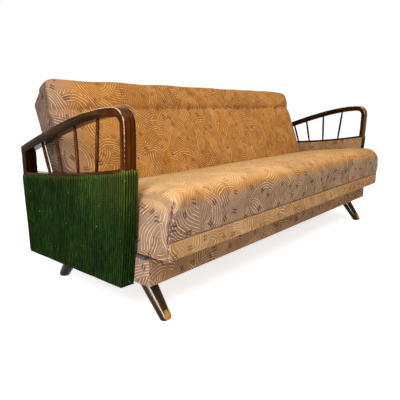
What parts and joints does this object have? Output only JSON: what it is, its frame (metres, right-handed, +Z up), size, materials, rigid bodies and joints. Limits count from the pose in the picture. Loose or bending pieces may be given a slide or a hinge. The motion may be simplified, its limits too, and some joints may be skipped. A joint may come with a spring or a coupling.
{
  "type": "sofa bed",
  "caption": "Long upholstered sofa bed with bentwood spindle arms, splayed legs, a back that folds flat and a seat that slides forward with it.",
  "frame": {"origin": "floor level, at the middle of the overall width and depth", "axes": "+Z up, -Y to the front of the seat, +X along the seat to the right as seen from the front"},
  "size_m": [2.05, 0.7732, 0.8257],
  "materials": {
    "walnut": "walnut-stained beech under worn gloss lacquer",
    "lacquer": "dark gloss lacquer on turned beech",
    "beech": "waxed",
    "pine": "sawn",
    "hardboard": "plain",
    "moquette": "ochre tone-on-tone moquette with cream arcs",
    "corduroy": "bottle-green wide-wale corduroy",
    "jute": "woven webbing",
    "steel": "zinc plated"
  },
  "bodies": {
    "frame": {"base_front_board": "moquette", "base_rear_board": "moquette", "base_left_end": "moquette", "base_right_end": "moquette", "base_floor": "hardboard", "base_centre_bearer": "pine", "left_leg_bearer": "pine", "right_leg_bearer": "pine", "left_seat_runner": "beech", "right_seat_runner": "beech", "rear_stretcher": "pine", "front_left_leg": "lacquer", "front_right_leg": "lacquer", "rear_left_leg": "lacquer", "rear_right_leg": "lacquer", "front_left_leg_plate": "steel", "front_right_leg_plate": "steel", "rear_left_leg_plate": "steel", "rear_right_leg_plate": "steel", "left_arm_bow": "walnut", "left_arm_rear_post": "walnut", "left_arm_upper_rail": "walnut", "left_arm_lower_rail": "pine", "left_arm_spindle_1": "walnut", "left_arm_spindle_2": "walnut", "left_arm_spindle_3": "walnut", "left_arm_spindle_4": "walnut", "left_arm_cover": "corduroy", "left_arm_inner_panel": "moquette", "left_pivot_stud": "steel", "right_arm_bow": "walnut", "right_arm_rear_post": "walnut", "right_arm_upper_rail": "walnut", "right_arm_lower_rail": "pine", "right_arm_spindle_1": "walnut", "right_arm_spindle_2": "walnut", "right_arm_spindle_3": "walnut", "right_arm_spindle_4": "walnut", "right_arm_cover": "corduroy", "right_arm_inner_panel": "moquette", "right_pivot_stud": "steel"},
    "back": {"back_top_rail": "pine", "back_bottom_rail": "pine", "back_left_stile": "pine", "back_right_stile": "pine", "back_centre_stile": "pine", "back_rear_cloth": "moquette", "back_cushion": "moquette", "left_crank_plate": "steel", "right_crank_plate": "steel"},
    "seat": {"seat_front_rail": "moquette", "seat_rear_rail": "pine", "seat_left_rail": "moquette", "seat_right_rail": "moquette", "seat_centre_rail": "pine", "seat_webbing": "jute", "seat_cushion": "moquette", "left_link_plate": "steel", "right_link_plate": "steel"}
  },
  "joints": [
    {"name": "back_recline", "type": "hinge", "parent": "frame", "child": "back", "pos_m": [0, 0.21709, 0.37], "axis": [-1, 0, 0], "range_deg": [0, 69]},
    {"name": "seat_slide", "type": "slide", "parent": "frame", "child": "seat", "axis": [0, -1, 0], "range_m": [0, 0.0902]}
  ],
  "couplings": [
    {"joint": "seat_slide", "follows": "back_recline", "m_per_rad": 0.074782}
  ]
}
